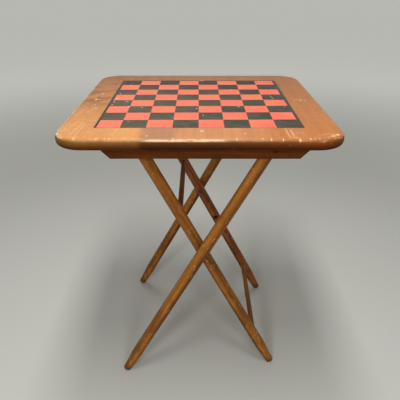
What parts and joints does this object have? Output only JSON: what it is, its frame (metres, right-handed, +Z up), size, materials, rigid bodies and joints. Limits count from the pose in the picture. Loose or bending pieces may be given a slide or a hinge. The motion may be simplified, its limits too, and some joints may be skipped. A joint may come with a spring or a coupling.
{
  "type": "folding game table",
  "caption": "Square folding game table: painted checkerboard top with round corners, pivoted battens and crossed dowel legs joined by rungs.",
  "frame": {"origin": "on the floor under the centre of the top, with the table set up", "axes": "+Z up; +Y to the rear, square to the batten that faces the viewer; +X to the right, along the battens, towards the end where the top is pivoted to the outer legs"},
  "size_m": [0.528, 0.527, 0.641],
  "materials": {
    "top_wood": "worn amber varnish with a painted red and black checkerboard",
    "batten_wood": "dark stained and varnished",
    "cleat_wood": "dark stained",
    "leg_wood": "warm brown varnish, rubbed at the edges",
    "rung_wood": "warm brown varnish",
    "screw_steel": "aged and darkened",
    "washer_steel": "dull"
  },
  "bodies": {
    "outer_legs": {"front_outer_leg": "leg_wood", "rear_outer_leg": "leg_wood", "front_top_pivot_screw": "screw_steel", "rear_top_pivot_screw": "screw_steel", "front_top_washer": "washer_steel", "rear_top_washer": "washer_steel", "front_cross_screw": "screw_steel", "rear_cross_screw": "screw_steel", "front_cross_washer": "washer_steel", "rear_cross_washer": "washer_steel"},
    "top": {"top_board": "top_wood", "front_batten": "batten_wood", "rear_batten": "batten_wood", "front_stop_cleat": "cleat_wood", "rear_stop_cleat": "cleat_wood", "batten_screws": "screw_steel", "cleat_screws": "screw_steel"},
    "inner_frame": {"front_inner_leg": "leg_wood", "rear_inner_leg": "leg_wood", "top_rung": "rung_wood", "upper_rung": "rung_wood", "lower_rung": "rung_wood", "front_head_washer": "washer_steel", "rear_head_washer": "washer_steel"}
  },
  "joints": [
    {"name": "leg_cross", "type": "hinge", "parent": "outer_legs", "child": "inner_frame", "pos_m": [0.0034, 0, 0.3443], "axis": [0, 1, 0], "range_deg": [0, 56]},
    {"name": "top_hinge", "type": "hinge", "parent": "outer_legs", "child": "top", "pos_m": [0.14278, 0, 0.5997], "axis": [0, 1, 0], "range_deg": [0, 118]}
  ]
}
